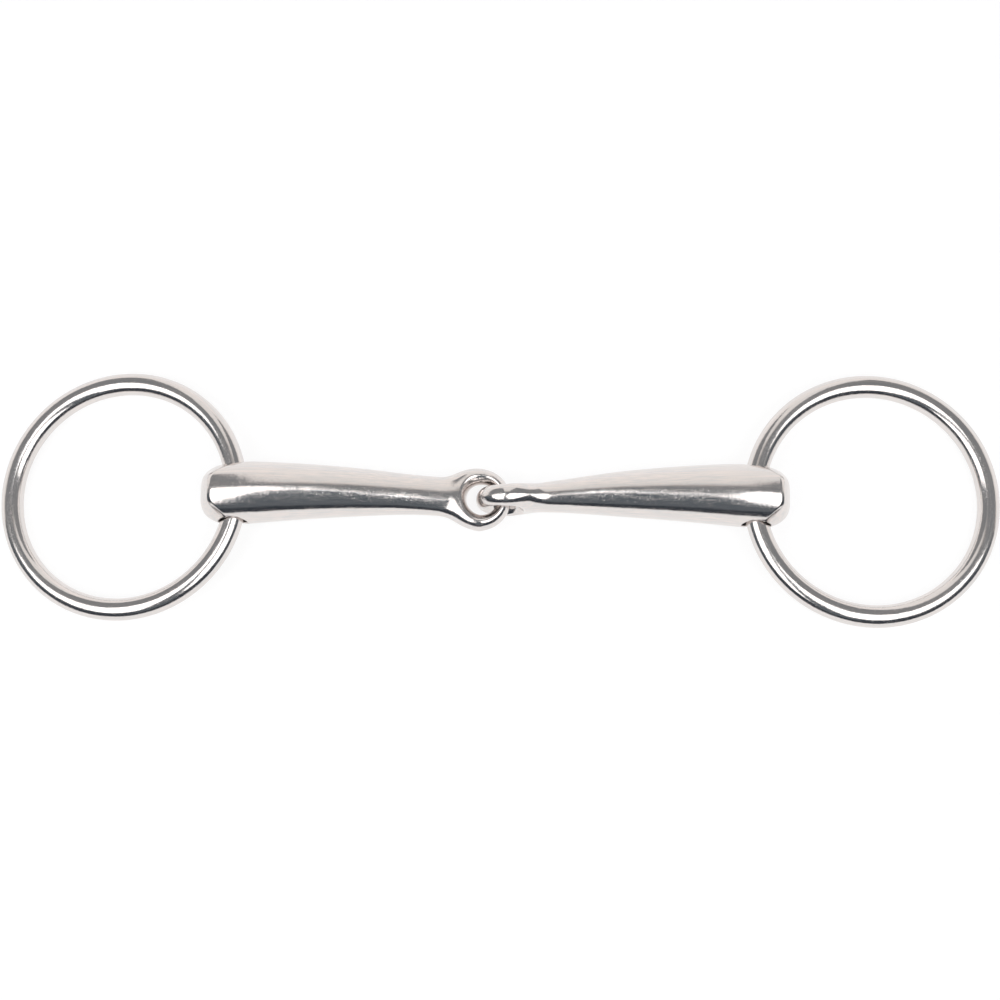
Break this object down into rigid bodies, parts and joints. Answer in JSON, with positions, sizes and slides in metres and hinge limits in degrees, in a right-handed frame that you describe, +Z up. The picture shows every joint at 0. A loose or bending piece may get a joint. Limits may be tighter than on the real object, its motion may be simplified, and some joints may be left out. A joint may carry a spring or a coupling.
{
  "type": "snaffle bit",
  "caption": "Single-jointed loose-ring snaffle bit: two tapered steel cannons linked eye through eye, with a loose wire ring through each outer end.",
  "frame": {"origin": "on the surface that the bit lies on, under the middle link, midway between the rings", "axes": "+X along the mouthpiece to the right, +Y across it, +Z up from the surface; the left eye lies flat, the right eye stands upright"},
  "size_m": [0.2748, 0.07, 0.0171],
  "materials": {
    "left_cannon": "mirror polished stainless steel",
    "right_cannon": "mirror polished stainless steel",
    "left_ring": "mirror polished stainless steel",
    "right_ring": "mirror polished stainless steel"
  },
  "bodies": {
    "left_cannon": {"left_cannon": "left_cannon"},
    "right_cannon": {"right_cannon": "right_cannon"},
    "left_ring": {"left_ring": "left_ring"},
    "right_ring": {"right_ring": "right_ring"}
  },
  "joints": [
    {"name": "centre_fold", "type": "hinge", "parent": "left_cannon", "child": "right_cannon", "pos_m": [0.00303, -0.0012, 0.00857], "axis": [0, -1, 0], "range_deg": [-133, 133]},
    {"name": "left_ring_swing", "type": "hinge", "parent": "left_cannon", "child": "left_ring", "pos_m": [-0.0711, 0, 0.00857], "axis": [0, 1, 0], "range_deg": [-95, 105]},
    {"name": "right_ring_swing", "type": "hinge", "parent": "right_cannon", "child": "right_ring", "pos_m": [0.0711, 0, 0.00857], "axis": [0, -1, 0], "range_deg": [-155, 160]}
  ]
}
